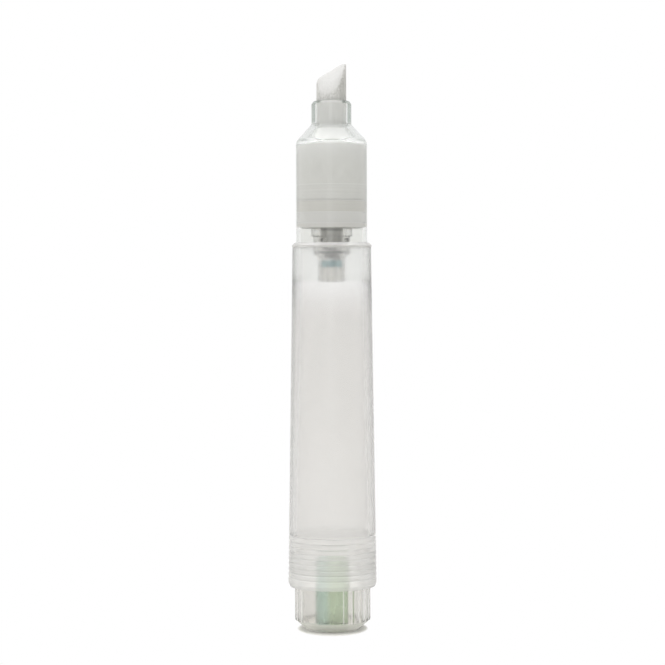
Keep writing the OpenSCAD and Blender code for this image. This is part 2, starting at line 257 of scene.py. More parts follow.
class Tree:
    """A node tree that is built node by node."""

    def __init__(self, tree):
        self.tree = tree

    def node(self, kind, settings=None, sockets=None, out=0):
        """Add a node, set it up, give its sockets values or links, and return an output or a few."""
        made = self.tree.nodes.new(kind)
        for name, setting in (settings or {}).items():
            setattr(made, name, setting)
        for key, value in (sockets or {}).items():
            if isinstance(value, Value):
                self.tree.links.new(value.socket, made.inputs[key])
            else:
                made.inputs[key].default_value = value
        if isinstance(out, tuple):
            return [Value(self, made.outputs[one]) for one in out]
        return Value(self, made.outputs[out]) if made.outputs else None

    def math(self, operation, *values):
        """A number worked out from values."""
        return self.node("ShaderNodeMath", {"operation": operation}, dict(enumerate(values)))

    def between(self, value, low, high):
        """The value, held between a low and a high limit."""
        return self.math("MAXIMUM", self.math("MINIMUM", value, high), low)

    def away(self, x, y):
        """Distance from the marker's axis."""
        return self.math("SQRT", x * x + y * y)

    def side_turn(self, x, y, first):
        """Angle about the axis from the nearer of two opposite sides, given the first side's angle."""
        turn = self.math("ARCTAN2", y, x) - first
        return self.math("WRAP", turn, math.pi / 2, -math.pi / 2)

    def mix(self, share, plain, other):
        """A shader between two shaders."""
        return self.node("ShaderNodeMixShader", None, {0: share, 1: plain, 2: other})

    def split(self, vector):
        """The three numbers of a vector."""
        return self.node("ShaderNodeSeparateXYZ", None, {0: vector}, (0, 1, 2))

    def join(self, x, y, z):
        """A vector from its three numbers."""
        return self.node("ShaderNodeCombineXYZ", None, {0: x, 1: y, 2: z})


class ShapeTree(Tree):
    """A Geometry Nodes tree with named sizes: counts, lengths in metres and angles in radians."""

    def __init__(self, name, sizes):
        super().__init__(bpy.data.node_groups.new(name, "GeometryNodeTree"))
        face = self.tree.interface
        face.new_socket("Geometry", in_out="INPUT", socket_type="NodeSocketGeometry")
        face.new_socket("Geometry", in_out="OUTPUT", socket_type="NodeSocketGeometry")
        self.sizes = sizes
        self.keys = {}
        for label, size in sizes.items():
            kind = "NodeSocketInt" if isinstance(size, int) else "NodeSocketFloat"
            self.keys[label] = face.new_socket(label, in_out="INPUT", socket_type=kind).identifier
        self.base, *inputs = self.node("NodeGroupInput", out=("Geometry", *sizes))
        self.inputs = dict(zip(sizes, inputs))

    def size(self, label):
        """The tree's input for a size."""
        return self.inputs[label]

    def place(self):
        """The three coordinates of each point."""
        return self.split(self.node("GeometryNodeInputPosition"))

    def close(self, shape, material):
        """End the tree in plain geometry with its material."""
        shape = self.node("GeometryNodeRealizeInstances", None, {"Geometry": shape})
        shape = self.node("GeometryNodeSetMaterial", None,
                          {"Geometry": shape, "Material": material})
        self.node("NodeGroupOutput", None, {"Geometry": shape})

    def run(self, piece):
        """Turn the piece into what the tree makes of it, as a plain mesh."""
        step = piece.modifiers.new("shape", "NODES")
        step.node_group = self.tree
        for label, size in self.sizes.items():
            step[self.keys[label]] = size
        depsgraph = bpy.context.evaluated_depsgraph_get()
        made = piece.evaluated_get(depsgraph)
        mesh = bpy.data.meshes.new_from_object(made, depsgraph=depsgraph)
        piece.modifiers.remove(step)
        old = piece.data
        piece.data = mesh
        mesh.name = piece.name
        bpy.data.meshes.remove(old)


class Finish(Tree):
    """A surface finish on Object coordinates."""

    def __init__(self, name):
        self.material = bpy.data.materials.new(name)
        self.material.use_nodes = True
        super().__init__(self.material.node_tree)
        self.tree.nodes.clear()
        self.spot = self.node("ShaderNodeTexCoord", out="Object")

    def grain(self, per_mm, detail=3.0, rough=0.55, bend=0.0):
        """Noise from 0 to 1, with the number of its bumps in a millimetre along X, Y and Z."""
        scaled = self.node("ShaderNodeMapping", {"vector_type": "POINT"},
                           {"Vector": self.spot, "Scale": tuple(s / MM for s in per_mm)})
        return self.node("ShaderNodeTexNoise", {"noise_dimensions": "3D"},
                         {"Vector": scaled, "Scale": 1.0, "Detail": detail, "Roughness": rough,
                          "Distortion": bend}, "Fac")

    def tones(self, factor, low, high):
        """A colour between two tones."""
        return self.blend(factor, (*low, 1), (*high, 1))

    def step(self, value, start, end):
        """A soft step from 0 to 1 between two values."""
        return self.node("ShaderNodeMapRange", {"interpolation_type": "SMOOTHSTEP"},
                         {"Value": value, "From Min": start, "From Max": end})

    def line(self, value, middle, fade, core):
        """A soft line round one value: 1 within its core, and 0 from the fade on."""
        return self.step(self.math("ABSOLUTE", value - middle), fade, core)

    def facing(self):
        """0 where the eye looks straight at a face, and 1 where it looks along it."""
        return self.node("ShaderNodeLayerWeight", None, {"Blend": 0.5}, "Facing")

    def blend(self, factor, plain, other):
        """A colour between two colours, where 6, 7 and 2 are the node's colour sockets."""
        return self.node("ShaderNodeMix", {"data_type": "RGBA"},
                         {0: factor, 6: plain, 7: other}, 2)

    def bump(self, height, depth_mm, strength):
        """Fine relief, from a height of 0 to 1 and its depth."""
        return self.node("ShaderNodeBump", None,
                         {"Strength": strength, "Distance": depth_mm * MM, "Height": height})

    def close(self, sockets, cast=None, per_metre=0.0, matt=None):
        """End the tree in a Principled shader.

        A cast is a colour that deepens along the light's way through the piece. A matt skin is
        given as its share and its colour.
        """
        surface = self.node("ShaderNodeBsdfPrincipled", None, sockets)
        if matt:
            share, colour = matt
            skin = self.node("ShaderNodeBsdfPrincipled", None,
                             {"Base Color": colour, "Roughness": SKIN_ROUGHNESS})
            surface = self.mix(share, surface, skin)
        ends = {"Surface": surface}
        if cast:
            ends["Volume"] = self.node("ShaderNodeVolumeAbsorption", None,
                                       {"Color": (*cast, 1), "Density": per_metre})
        self.node("ShaderNodeOutputMaterial", None, ends)
        return self.material


# Finishes

def frosted_plastic():
    """Translucent plastic: clear round the nose, frosted below it, milky at the lip and rings."""
    finish = Finish("frosted plastic")
    frost = finish.grain((6, 6, 6), 2.0)
    cloud = finish.grain((0.12, 0.12, 0.05), 2.0)
    x, y, z = finish.split(finish.spot)
    taper = (TAIL_R - MOUTH_R) / (BARREL_Z1 - BARREL_Z0)
    outside = finish.away(x, y) > WALL_MIDDLE_R * MM - (z - BARREL_Z0 * MM) * taper
    mouth = finish.step(z, FROST_Z0 * MM, FROST_Z1 * MM)
    above_plug = 1 - finish.step(z, (TAIL_BORE_Z1 + 0.55) * MM, (TAIL_BORE_Z1 - 0.25) * MM)
    frosted = finish.step(z, FROST_Z1 * MM, FROST_Z0 * MM) * above_plug
    low = finish.step(z, 60.0 * MM, RINGS_Z1 * MM)
    ringed = finish.step(z, RINGS_Z1 * MM, (RINGS_Z1 - 0.4) * MM)
    lip = finish.step(z, (LIP_Z0 - 0.3) * MM, (LIP_Z0 + 0.1) * MM)
    milk = (0.22 + 0.02 * low + 0.12 * ringed - 0.2 * mouth) * outside + 0.38 * lip
    facing = finish.facing()
    along = finish.step(facing, 0.5, 0.8) * outside
    # Where the eye looks straight at the middle of the barrel, the wall is tinted darker: painted shade
    middle = finish.step(facing, 0.3, 0.02) * finish.step(z, 30.0 * MM, 70.0 * MM) * outside
    clear = finish.tones(cloud, (0.985, 0.983, 0.978), (0.998, 0.996, 0.991))
    hazy = finish.tones(cloud, (0.935, 0.925, 0.912), (0.96, 0.95, 0.937))
    shaded_middle = finish.tones(cloud, (0.85, 0.842, 0.83), (0.875, 0.866, 0.854))
    hazy = finish.blend(middle, hazy, shaded_middle)
    deep = finish.tones(cloud, (0.5, 0.5, 0.485), (0.58, 0.58, 0.565))
    pale = finish.tones(cloud, (0.95, 0.938, 0.924), (0.98, 0.969, 0.956))
    return finish.close({
        "Base Color": finish.blend(along, finish.blend(frosted, clear, hazy), deep),
        "Roughness": (0.11 + 0.06 * frost - 0.08 * ringed + 0.11 * frosted * (1 - outside)
                      + 0.1 * mouth * outside),
        "IOR": PLASTIC_IOR,
        "Transmission Weight": 1.0,
        "Normal": finish.bump(frost * (1 - ringed), 0.003, 0.4),
    }, (0.8, 0.8, 0.78), 60.0, (milk, pale))


def clear_plastic():
    """Clear moulding with slight waves, green where the eye looks along bare walls."""
    finish = Finish("clear plastic")
    wave = finish.grain(WAVES, 2.0)
    haze = finish.grain((0.6, 0.6, 0.6), 3.0)
    x, y, z = finish.split(finish.spot)
    away = finish.away(x, y)
    facing = finish.facing()
    collar = finish.step(z, (COLLAR_Z0 - 0.3) * MM, (COLLAR_Z0 + 0.5) * MM)
    collar = collar * (away > (COLLAR_R - 0.5) * MM)
    above_barrel = z > BARREL_Z1 * MM
    waist = above_barrel * (z < (FLANGE_Z0 - 0.1) * MM)
    shoulder = (z > (SHOULDER_Z - 0.1) * MM) * (z < (COLLAR_Z0 - 0.1) * MM)
    side = above_barrel * (z < (SHOULDER_Z - 0.1) * MM) * (away > (NOSE_R - 0.5) * MM)
    along = (finish.step(facing, 0.3, 0.46) * collar + 0.45 * finish.step(facing, 0.5, 0.8) * side
             + 0.42 * finish.step(facing, 0.25, 0.5) * shoulder)
    plain = finish.tones(haze, (0.982, 0.987, 0.98), (0.994, 0.998, 0.992))
    bare = finish.tones(haze, (0.87, 0.872, 0.852), (0.895, 0.898, 0.88))
    green = finish.tones(haze, (0.18, 0.22, 0.19), (0.24, 0.27, 0.24))
    plastic = finish.blend(waist, plain, bare)
    return finish.close({
        "Base Color": finish.blend(along, plastic, green),
        "Roughness": 0.05 + 0.06 * haze,
        "IOR": PLASTIC_IOR,
        "Transmission Weight": 1.0,
        "Normal": finish.bump(wave, 0.005, 0.3),
    }, (0.42, 0.53, 0.44), 14.0)


def hazy_plastic():
    """Hazy clear moulding, a little warm, with a matt foot bevel painted as dark as the shadow under it
    and painted highlights on the ridges between the flutes.
    """
    finish = Finish("hazy plastic")
    wave = finish.grain(WAVES, 2.0)
    haze = finish.grain((0.3, 0.3, 0.2), 3.0)
    x, y, z = finish.split(finish.spot)
    away = finish.away(x, y)
    outer = 1 - finish.node("ShaderNodeNewGeometry", out="Backfacing")
    below_barrel = z < BARREL_Z0 * MM
    bevel_r = (FOOT_R - 0.1) * MM + (PLUG_R - FOOT_R) / FOOT_Z1 * z
    foot = finish.step(z, (FOOT_Z1 + 0.2) * MM, (FOOT_Z1 - 0.2) * MM) * (away > bevel_r) * outer
    inside = (away < (PLUG_BORE_R + 0.4) * MM) * below_barrel * (z > (PLUG_FLOOR_Z - 0.1) * MM)
    skin = 0.08 * (away > (PLUG_R - 0.8) * MM) * below_barrel * outer
    place = finish.side_turn(x, y, FLUTE_TURN) / FLUTE_PITCH + FLUTE_COUNT / 2
    nearest = finish.between(finish.math("ROUND", place), 0, FLUTE_COUNT)
    off = finish.math("ABSOLUTE", place - nearest) * (FLUTE_PITCH * PLUG_R)
    fluted = (away > (PLUG_R - 0.2) * MM) * below_barrel * (z > FOOT_Z1 * MM) * outer
    # Pale matt lines on the ridges between the flutes are painted highlights
    ridge = finish.step(off, 0.2, 0.06) * fluted
    clear = finish.tones(haze, (0.97, 0.967, 0.957), (0.985, 0.983, 0.975))
    hazy = finish.tones(haze, (0.845, 0.832, 0.805), (0.9, 0.89, 0.866))
    ridge_highlight = finish.tones(haze, (0.93, 0.925, 0.91), (0.97, 0.965, 0.95))
    # The foot's bevel gets a matt grey skin that is painted shade, as dark as the shadow under the plug
    foot_shade = finish.tones(haze, (0.61, 0.62, 0.57), (0.7, 0.71, 0.66))
    spigot = finish.step(z, (SPIGOT_Z0 - 0.65) * MM, (SPIGOT_Z0 + 0.15) * MM)
    matt = (0.75 * foot + skin + 0.5 * ridge, finish.blend(ridge, foot_shade, ridge_highlight))
    return finish.close({
        "Base Color": finish.blend(spigot, hazy, clear),
        "Roughness": 0.1 + 0.12 * haze + 0.06 * inside,
        "IOR": PLASTIC_IOR,
        "Transmission Weight": 1.0,
        "Normal": finish.bump(wave, 0.0015, 0.3),
    }, (0.6, 0.6, 0.5), 14.0, matt)


def pressed_felt():
    """White felt with its fibres along the rod; its tones are painted light and shade: whiter under the
    collar, greyer where bare, paler on the cut faces and darker on the right side.
    """
    finish = Finish("pressed felt")
    fibre = finish.grain((5.5, 5.5, 0.35), 4.0, 0.6, 0.4)
    nap = finish.grain((3.0, 3.0, 3.0), 3.0)
    mixed = fibre * 0.7 + nap * 0.3
    mottled = finish.step(fibre * 0.45 + nap * 0.55, 0.33, 0.67)
    x, y, z = finish.split(finish.spot)
    bare = finish.step(z, (COLLAR_Z1 - 0.4) * MM, (COLLAR_Z1 + 0.3) * MM)
    cut = finish.step(finish.away(x, y), (NIB_R - 0.04) * MM, (NIB_R - 0.3) * MM)
    # The round side on the right is painted darker below the tip: painted shade
    right_side_shade = finish.step(x, 0.4 * MM, 3.0 * MM) * (0.7 + 0.8 * (fibre - 0.5)) * (1 - cut)
    right_side_shade = right_side_shade * finish.step(z, (NIB_Z1 - 0.7) * MM, (NIB_Z1 - 3.5) * MM)
    # Felt under the collar is kept whiter, bare felt greyer and its cut faces paler, to stand in for
    # the light each part gets: painted light
    collar_felt_tone = finish.tones(mixed, (0.88, 0.877, 0.86), (0.985, 0.982, 0.965))
    pale = finish.tones(mixed, (0.54, 0.537, 0.527), (0.76, 0.757, 0.747))
    grey = finish.tones(mottled, (0.44, 0.437, 0.42), (0.68, 0.677, 0.66))
    dark = finish.tones(mottled, (0.22, 0.218, 0.2), (0.6, 0.595, 0.57))
    bare_felt_tones = finish.blend(right_side_shade, finish.blend(cut, grey, pale), dark)
    return finish.close({
        "Base Color": finish.blend(bare, collar_felt_tone, bare_felt_tones),
        "Roughness": 0.88 + 0.1 * nap,
        "Sheen Weight": 0.2,
        "Sheen Roughness": 0.6,
        "Normal": finish.bump(mixed, 0.08, 0.8),
    })


def moulded(name, low, high, gloss, clear=0.0, ior=PLASTIC_IOR, depth=0.006):
    """A moulded finish: two close tones, uneven gloss and a fine skin."""
    finish = Finish(name)
    mottle = finish.grain(MOTTLE, 3.0)
    skin = finish.grain(FINE_SKIN, 2.0)
    return finish.close({
        "Base Color": finish.tones(mottle, low, high),
        "Roughness": gloss + 0.12 * mottle,
        "IOR": ior,
        "Transmission Weight": clear,
        "Normal": finish.bump(skin, depth, 0.6),
    })


def milky_plastic():
    """Natural plastic: white in the flange and the spacer, and clear in the boss, cage and tube."""
    finish = Finish("milky plastic")
    mottle = finish.grain(MOTTLE, 3.0)
    mark = finish.grain(MOULD_MARKS, 2.0)
    z = finish.split(finish.spot)[2]
    joints = (FLANGE_Z1, GASKET_Z1, SPACER_Z1)
    # Paler lines at the joints of flange, gasket and spacer are painted highlights
    joint_highlights = sum(finish.line(z, joint * MM, 0.3 * MM, 0.1 * MM) for joint in joints)
    flange = finish.tones(mark, (0.915, 0.9, 0.87), (0.99, 0.98, 0.955))
    spacer = finish.tones(mark, (0.82, 0.807, 0.772), (0.91, 0.9, 0.862))
    rim = finish.tones(mottle, (0.98, 0.975, 0.965), (0.99, 0.985, 0.975))
    white = finish.blend(joint_highlights, finish.blend(z > GASKET_Z1 * MM, flange, spacer), rim)
    return finish.close({
        "Base Color": finish.tones(mottle, (0.96, 0.955, 0.942), (0.982, 0.978, 0.968)),
        "Roughness": 0.16 + 0.1 * mottle,
        "IOR": PLASTIC_IOR,
        "Transmission Weight": 1.0,
        "Normal": finish.bump(mottle, 0.006, 0.5),
    }, matt=(z > (FLANGE_Z0 - 0.1) * MM, white))


def white_plastic():
    """Satin white plastic, banded below its fine step, with painted light that whitens the top of the
    sleeve and a painted highlight along the step.
    """
    finish = Finish("white plastic")
    mottle = finish.grain(MOTTLE, 3.0)
    skin = finish.grain(FINE_SKIN, 2.0)
    z = finish.split(finish.spot)[2]
    mark = finish.grain(MOULD_MARKS, 2.0)
    low = finish.step(z, 109.0 * MM, 105.0 * MM)
    white = finish.tones(mottle, (0.975, 0.972, 0.955), (0.99, 0.988, 0.975))
    # A whiter line along the fine step is a painted highlight
    edge = finish.line(z, GUIDE_STEP_Z * MM, 0.2 * MM, 0.08 * MM)
    banded = finish.math("MAXIMUM", mottle * (1 - low) + mark * low, edge)
    cream = finish.tones(banded, (0.86, 0.854, 0.828), (0.985, 0.982, 0.96))
    # The top of the sleeve is whiter than the rest: painted light
    top = finish.step(z, 110.0 * MM, (SHOULDER_Z - 0.1) * MM)
    return finish.close({
        "Base Color": finish.blend(top, cream, white),
        "Roughness": 0.34 + 0.12 * mottle,
        "IOR": PLASTIC_IOR,
        "Normal": finish.bump(skin, 0.006, 0.6),
    })


def tinted_plastic():
    """Translucent green plastic that turns to teal on one side."""
    finish = Finish("tinted plastic")
    mottle = finish.grain((0.5, 0.5, 0.2), 3.0)
    x = finish.split(finish.spot)[0]
    teal = finish.tones(mottle, (0.6, 0.87, 0.84), (0.7, 0.9, 0.87))
    green = finish.tones(mottle, (0.66, 0.85, 0.62), (0.76, 0.88, 0.64))
    right = finish.step(x, -1.8 * MM, -0.2 * MM)
    return finish.close({
        "Base Color": finish.blend(right, teal, green),
        "Roughness": 0.2 + 0.15 * mottle,
        "IOR": PLASTIC_IOR,
        "Transmission Weight": 0.85,
        "Normal": finish.bump(mottle, 0.01, 0.4),
    })


def drawn_wire():
    """Bright drawn steel, a little uneven in tone."""
    finish = Finish("drawn wire")
    streak = finish.grain((9, 9, 2), 3.0)
    return finish.close({
        "Base Color": finish.tones(streak, (0.7, 0.7, 0.71), (0.86, 0.86, 0.87)),
        "Roughness": 0.22 + 0.2 * streak,
        "Metallic": 1.0,
        "Normal": finish.bump(streak, 0.004, 0.5),
    })


FINISHES = {
    "frosted_barrel": frosted_plastic(),
    "clear_plastic": clear_plastic(),
    "hazy_plastic": hazy_plastic(),
    "white_felt": pressed_felt(),
    "white_plastic": white_plastic(),
    "milky_plastic": milky_plastic(),
    "grey_plastic": moulded(
        "grey plastic", (0.93, 0.927, 0.91), (0.97, 0.967, 0.95), gloss=0.25, ior=2.4),
    "pale_rubber": moulded(
        "pale rubber", (0.915, 0.908, 0.89), (0.94, 0.935, 0.92), gloss=0.45, depth=0.02),
    "clear_rubber": moulded(
        "clear rubber", (0.96, 0.963, 0.952), (0.98, 0.982, 0.973), gloss=0.08, clear=1.0),
    "dark_rubber": moulded(
        "grey rubber", (0.58, 0.58, 0.57), (0.66, 0.66, 0.65), gloss=0.55, depth=0.02),
    "teal_rubber": moulded(
        "teal rubber", (0.47, 0.68, 0.72), (0.55, 0.74, 0.77), gloss=0.15, clear=0.9, depth=0.02),
    "spring_steel": drawn_wire(),
    "green_plastic": tinted_plastic(),
}


# Shapes

def guard(reach, side):
    """How far past a rounding its flat side has one more point, which keeps the side's shading flat."""
    return min(0.2 * reach, 0.02 * side.length)


def rounded(outline, steps=5):
    """An outline of (radius, height, rounding) points with its corners rounded off."""
    points = []
    count = len(outline)
    for i, (r, z, rounding) in enumerate(outline):
        corner = Vector((r, z))
        if not rounding:
            points.append(corner)
            continue
        back = Vector(outline[i - 1][:2]) - corner
        on = Vector(outline[(i + 1) % count][:2]) - corner
        half = back.angle(on) / 2
        room = 0.48 * min(back.length, on.length)
        reach = min(rounding / math.tan(half), room)
        size = reach * math.tan(half)
        inwards = (back.normalized() + on.normalized()).normalized()
        middle = corner + inwards * size / math.sin(half)
        start = corner + back.normalized() * reach - middle
        sweep = start.angle_signed(corner + on.normalized() * reach - middle)
        points.append(corner + back.normalized() * (reach + guard(reach, back)))
        for k in range(steps + 1):
            turn = -sweep * k / steps
            c, s = math.cos(turn), math.sin(turn)
            spoke = Vector((c * start.x - s * start.y, s * start.x + c * start.y))
            points.append(middle + spoke)
        points.append(corner + on.normalized() * (reach + guard(reach, on)))
    return points


def refined(points, z0, z1, step):
    """The outline with extra points no more than a step apart between two heights, outside only."""
    fine = []
    for i, point in enumerate(points):
        fine.append(point)
        after = points[(i + 1) % len(points)]
        first = max(point.y, z0)
        last = min(after.y, z1)
        if first >= last:
            continue
        count = math.ceil((last - first) / step)
        for k in range(count + 1):
            z = first + (last - first) * k / count
            if point.y + LEAST_STEP < z < after.y - LEAST_STEP:
                fine.append(point.lerp(after, (z - point.y) / (after.y - point.y)))
    return fine


def turned(name, points, material, segments=SEGMENTS):
    """A piece turned about the axis from an outline, which may start and end on the axis."""
    shape = bmesh.new()
    columns = []
    for k in range(segments):
        turn = 2 * math.pi * k / segments
        c, s = math.cos(turn), math.sin(turn)
        columns.append([shape.verts.new((p.x * c * MM, p.x * s * MM, p.y * MM)) for p in points])
    count = len(points)
    on_axis = points[0].x < LEAST_STEP
    for k in range(segments):
        here, there = columns[k], columns[(k + 1) % segments]
        for i in range(count - 1 if on_axis else count):
            j = (i + 1) % count
            shape.faces.new((here[i], there[i], there[j], here[j]))
    bmesh.ops.remove_doubles(shape, verts=shape.verts, dist=SAME_SPOT)
    bmesh.ops.dissolve_degenerate(shape, edges=shape.edges, dist=NO_LENGTH)
    bmesh.ops.recalc_face_normals(shape, faces=shape.faces)
    return piece_of(name, shape, material)


def piece_of(name, shape, material):
    """An object in the scene from a bmesh."""
    mesh = bpy.data.meshes.new(name)
    shape.to_mesh(mesh)
    shape.free()
    mesh.materials.append(material)
    smooth(mesh)
    piece = bpy.data.objects.new(name, mesh)
    bpy.context.scene.collection.objects.link(piece)
    return piece


def smooth(mesh, turn=32):
    """Shade a mesh smooth, apart from edges that turn by more than some degrees."""
    mesh.shade_smooth()
    mesh.set_sharp_from_angle(angle=math.radians(turn))


def plain_ring(name, radii, heights, rounding, slot, segments=SEGMENTS):
    """A plain ring with rounded rims, from its outer and inner radius and its two heights."""
    r_out, r_in = radii
    z0, z1 = heights
    outline = rounded([
        (r_in, z0, rounding / 2), (r_out, z0, rounding),
        (r_out, z1, rounding), (r_in, z1, rounding / 2),
    ])
    return turned(name, outline, FINISHES[slot], segments)


def barrel_r(z):
    """Outside radius of the tapered barrel."""
    return TAIL_R + (MOUTH_R - TAIL_R) * (z - BARREL_Z0) / (BARREL_Z1 - BARREL_Z0)


def shoulder_z(r, depth):
    """Height of the nose's sloping shoulder, moved inwards by a depth."""
    slope = (COLLAR_Z0 - SHOULDER_Z) / (NOSE_R - COLLAR_R)
    return SHOULDER_Z + (NOSE_R - r) * slope - depth * math.sqrt(1 + slope * slope)


def move_in(tree, x, y, z, radius, new_radius):
    """Set each point to a new distance from the axis."""
    share = new_radius / radius
    place = tree.join(x * share, y * share, z)
    return tree.node("GeometryNodeSetPosition", None, {"Geometry": tree.base, "Position": place})


def barrel_tube():
    """Frosted tapered tube with a lip at the mouth and rounded grip rings at the tail."""
    lip_r = MOUTH_R + LIP_DEPTH
    outline = rounded([
        (TAIL_BORE_R, BARREL_Z0, 0.1), (TAIL_R - 0.35, BARREL_Z0, 0.12),
        (barrel_r(TAIL_BEVEL_Z1), TAIL_BEVEL_Z1, 0.12), (barrel_r(LIP_Z0), LIP_Z0, 0.05),
        (lip_r, LIP_Z0 + 0.15, 0.1), (lip_r, LIP_Z0 + 0.45, 0.15), (lip_r - 0.5, BARREL_Z1, 0.15),
        (MOUTH_BORE_R, BARREL_Z1, 0.1), (MOUTH_BORE_R, LEDGE_Z + LEDGE_RISE, 0),
        (NOSE_BORE_R, LEDGE_Z, 0), (TAIL_BORE_R - 0.35, TAIL_BORE_Z1, 0.15),
        (TAIL_BORE_R, TAIL_BORE_Z1, 0.05),
    ])
    outline = refined(outline, RINGS_Z0, RINGS_Z1 + 0.6, step=0.05)
    tube = turned("barrel_tube", outline, FINISHES["frosted_barrel"])
    tree = ShapeTree("grip rings", {
        "Ring count": RING_COUNT, "First ring": RING_FIRST_Z * MM, "Ring pitch": RING_PITCH * MM,
        "Ring radius": RING_R * MM, "Ring depth": RING_DEPTH * MM, "Skin": (TAIL_R - 0.65) * MM,
    })
    x, y, z = tree.place()
    radius = tree.away(x, y)
    ring_r = tree.size("Ring radius")
    first = tree.size("First ring")
    pitch = tree.size("Ring pitch")
    last = tree.size("Ring count") - 1
    ring = tree.between(tree.math("ROUND", (z - first) / pitch), 0, last)
    off = z - first - ring * pitch
    fall = tree.math("SQRT", tree.math("MAXIMUM", ring_r * ring_r - off * off, 0))
    dip = tree.math("MAXIMUM", fall - ring_r + tree.size("Ring depth"), 0)
    outside = radius > tree.size("Skin")
    tree.close(move_in(tree, x, y, z, radius, radius - dip * outside), FINISHES["frosted_barrel"])
    tree.run(tube)
    smooth(tube.data, turn=40)
    return tube


def nose_shell():
    """Clear nose: straight sides, a sloping shoulder, a collar round the nib and a push-in foot."""
    foot_z = LEDGE_Z - CONTACT
    outline = rounded([
        (NOSE_BORE_R, foot_z, 0), (SKIRT_R, foot_z + LEDGE_RISE, 0), (SKIRT_R, BARREL_Z1, 0),
        (NOSE_R, BARREL_Z1, 0.06), (NOSE_R, SHOULDER_Z, 2.4),
        (COLLAR_R, COLLAR_Z0, 0.8), (COLLAR_R, COLLAR_Z1 - 0.7, 0.2), (COLLAR_R - 0.5, COLLAR_Z1, 0.15),
        (NIB_BORE_R, COLLAR_Z1, 0.1), (NIB_BORE_R, shoulder_z(NIB_BORE_R, NOSE_WALL), 0.1),
        (SLEEVE_BORE_R, shoulder_z(SLEEVE_BORE_R, NOSE_WALL), 1.2), (SLEEVE_BORE_R, SPACER_Z1, 0),
        (NOSE_BORE_R, SPACER_Z1, 0),
    ], steps=8)
    return turned("nose_shell", outline, FINISHES["clear_plastic"])


def guide_sleeve():
    """White sleeve with a flat top, a conical neck round the nib and a fine step low on its side."""
    flat_z = shoulder_z(GUIDE_TOP_R, GUIDE_TOP_DEPTH)
    neck_z = shoulder_z(NECK_R, GUIDE_TOP_DEPTH)
    upper_r = GUIDE_R - 0.02
    roof_z = flat_z - 1.1
    outline = rounded([
        (GUIDE_BORE_R, SPACER_Z1, 0.1), (GUIDE_R, SPACER_Z1, 0.05), (GUIDE_R, GUIDE_STEP_Z - 0.1, 0.05),
        (upper_r, GUIDE_STEP_Z, 0.05), (upper_r, flat_z, 0.15), (NECK_R + 0.65, flat_z, 0.3),
        (NECK_R, neck_z, 0.1), (NIB_BORE_R, neck_z, 0.1), (NIB_BORE_R, roof_z, 0.2),
        (GUIDE_BORE_R, roof_z, 0.3),
    ])
    return turned("guide_sleeve", outline, FINISHES["white_plastic"])


def holes_round(name, sizes, tilt, material):
    """A tree that cuts round holes, evenly spaced about the axis, across it or along it."""
    tree = ShapeTree(name, sizes)
    count = tree.size("Hole count")
    ring_r = tree.size("Ring radius")
    turn = tree.size("First turn") + tree.node("GeometryNodeInputIndex") * (2 * math.pi) / count
    place = tree.join(ring_r * tree.math("COSINE", turn), ring_r * tree.math("SINE", turn),
                      tree.size("Height"))
    spots = tree.node("GeometryNodePoints", None, {"Count": count, "Position": place})
    drill = tree.node("GeometryNodeMeshCylinder", None, {
        "Vertices": 24, "Radius": tree.size("Hole radius"), "Depth": tree.size("Hole length"),
    })
    lie = tree.node("FunctionNodeEulerToRotation", None, {0: tree.join(0.0, tilt, turn)})
    drills = tree.node("GeometryNodeInstanceOnPoints", None,
                       {"Points": spots, "Instance": drill, "Rotation": lie})
    drills = tree.node("GeometryNodeRealizeInstances", None, {"Geometry": drills})
    cut = tree.node("GeometryNodeMeshBoolean", {"operation": "DIFFERENCE", "solver": "EXACT"},
                    {"Mesh 1": tree.base, "Mesh 2": drills})
    tree.close(cut, material)
    return tree


def valve_housing():
    """Valve flange with the boss, the ported cage and the tube under it."""
    outline = rounded([
        (STEM_BORE_R, FLANGE_Z1, 0.1), (STACK_R, FLANGE_Z1, 0.06), (STACK_R, FLANGE_Z0, 0.2),
        (BOSS_R, FLANGE_Z0, 0.1), (BOSS_R, BOSS_Z0, 0.2), (CAGE_R, BOSS_Z0, 0.1),
        (CAGE_R, CAGE_Z0, 0.25), (TUBE_R, CAGE_Z0 - 1.0, 0.2), (TUBE_R, TUBE_Z0, 0.1),
        (TUBE_BORE_R, TUBE_Z0, 0.08), (TUBE_BORE_R, CAGE_Z0, 0.1), (CAGE_BORE_R, CAGE_Z0 + 0.55, 0.1),
        (CAGE_BORE_R, FLANGE_Z0, 0.1), (STEM_BORE_R, FLANGE_Z0, 0.1),
    ])
    housing = turned("valve_housing", outline, FINISHES["milky_plastic"])
    ports = holes_round("ink ports", {
        "Hole count": 4, "Hole radius": 0.45 * MM, "Hole length": 3.1 * MM,
        "Ring radius": (CAGE_R + CAGE_BORE_R) / 2 * MM, "Height": PORT_Z * MM,
        "First turn": math.radians(-120),
    }, math.pi / 2, FINISHES["milky_plastic"])
    ports.run(housing)
    smooth(housing.data)
    return housing


